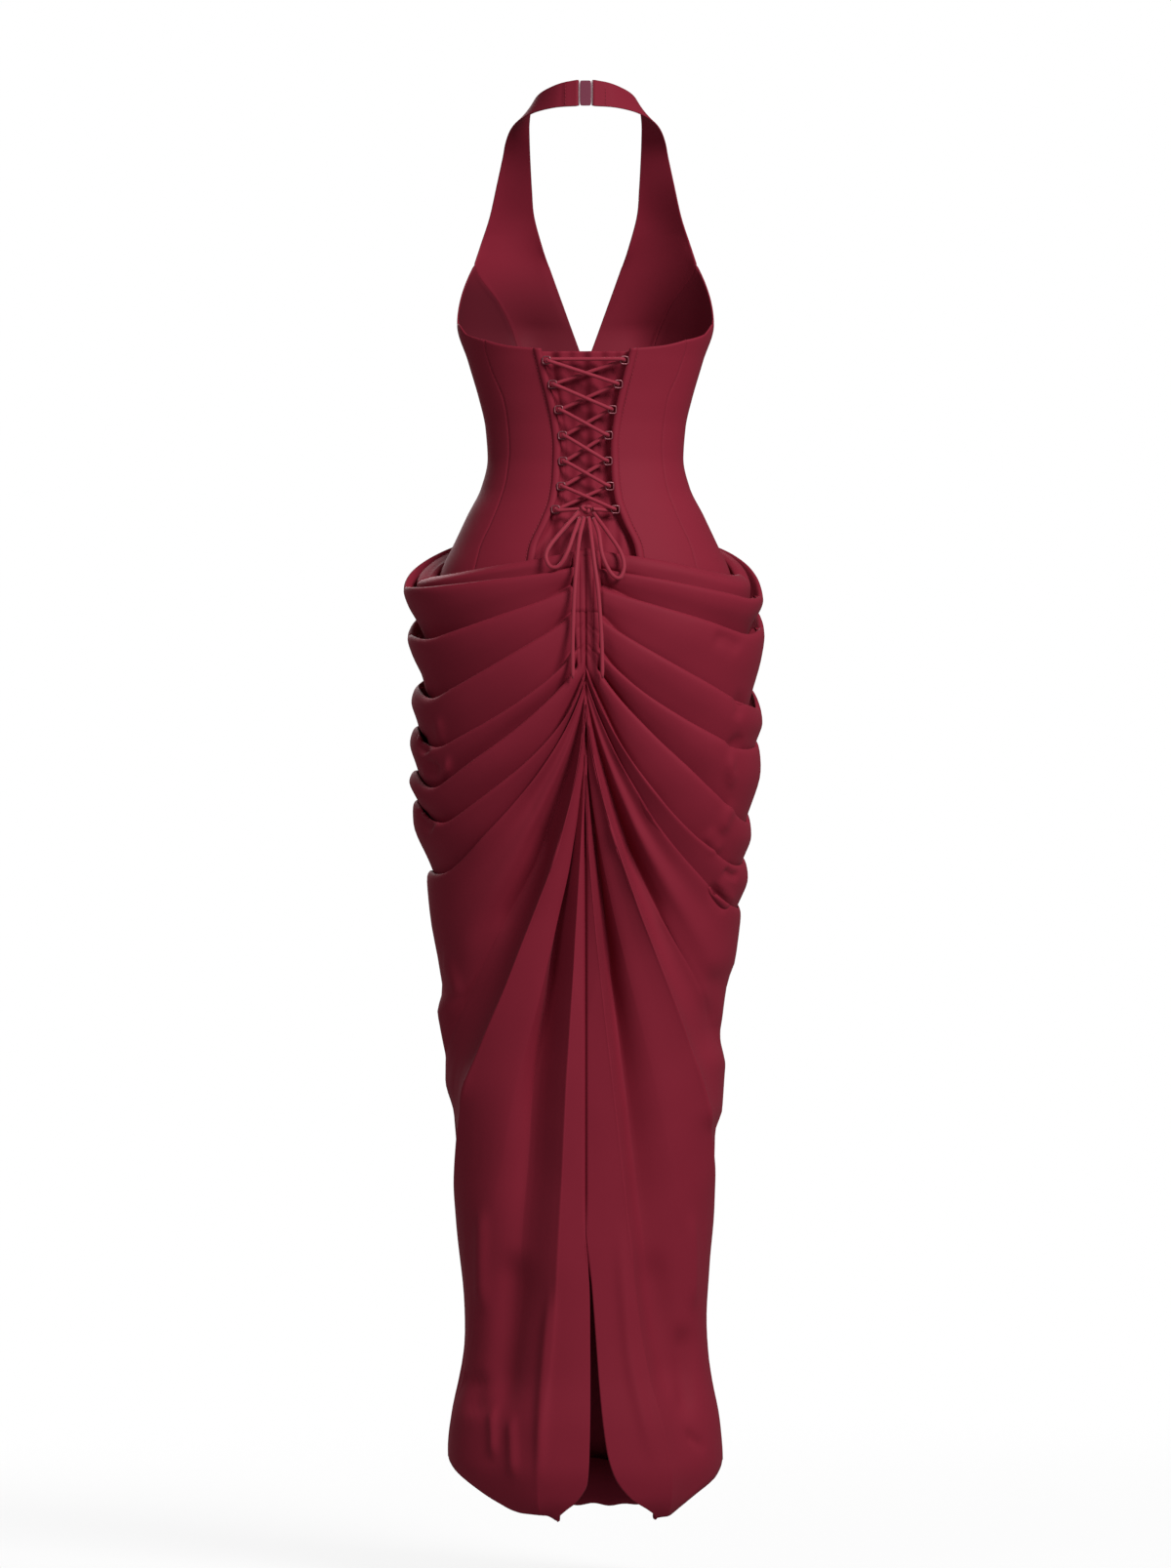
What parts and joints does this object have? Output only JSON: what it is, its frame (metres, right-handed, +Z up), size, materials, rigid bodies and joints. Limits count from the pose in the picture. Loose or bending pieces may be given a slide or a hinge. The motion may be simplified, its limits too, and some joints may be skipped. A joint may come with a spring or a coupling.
{
  "type": "halter maxi dress",
  "caption": "Long wine crepe halter dress with a laced back bodice and a draped, gathered skirt, in its worn hollow form.",
  "frame": {"origin": "nape of the neck, on the inner face of the neck clasp at half its height", "axes": "+Z up, +Y the way the wearer faces, +X towards the wearer's right"},
  "size_m": [0.3849, 0.2769, 1.5447],
  "materials": {
    "crepe": "smooth heavy crepe with a soft sheen",
    "crepe_inside": "creased crepe behind the lacing",
    "lace_cord": "round cord of the same cloth",
    "ring_wire": "wine enamelled wire",
    "clasp_bar": "pale satin metal",
    "clasp_plate": "plate covered in mauve cloth"
  },
  "bodies": {
    "root": {"back_left": "crepe", "back_right": "crepe", "side_back_left": "crepe", "side_back_right": "crepe", "side_front_left": "crepe", "side_front_right": "crepe", "halter_front_left": "crepe", "halter_front_right": "crepe", "casing_left": "crepe", "casing_right": "crepe", "modesty_panel": "crepe_inside", "loop_left_1": "ring_wire", "loop_left_2": "ring_wire", "loop_left_3": "ring_wire", "loop_left_4": "ring_wire", "loop_left_5": "ring_wire", "loop_left_6": "ring_wire", "loop_left_7": "ring_wire", "loop_right_1": "ring_wire", "loop_right_2": "ring_wire", "loop_right_3": "ring_wire", "loop_right_4": "ring_wire", "loop_right_5": "ring_wire", "loop_right_6": "ring_wire", "loop_right_7": "ring_wire", "lace": "lace_cord", "lace_knot": "lace_cord", "bow_left": "lace_cord", "bow_right": "lace_cord", "lace_end_left": "lace_cord", "lace_end_right": "lace_cord", "clasp_plate": "clasp_plate", "clasp_bar_left": "clasp_bar", "clasp_bar_right": "clasp_bar", "skirt_back_left": "crepe", "skirt_back_right": "crepe", "skirt_front": "crepe"}
  },
  "joints": []
}
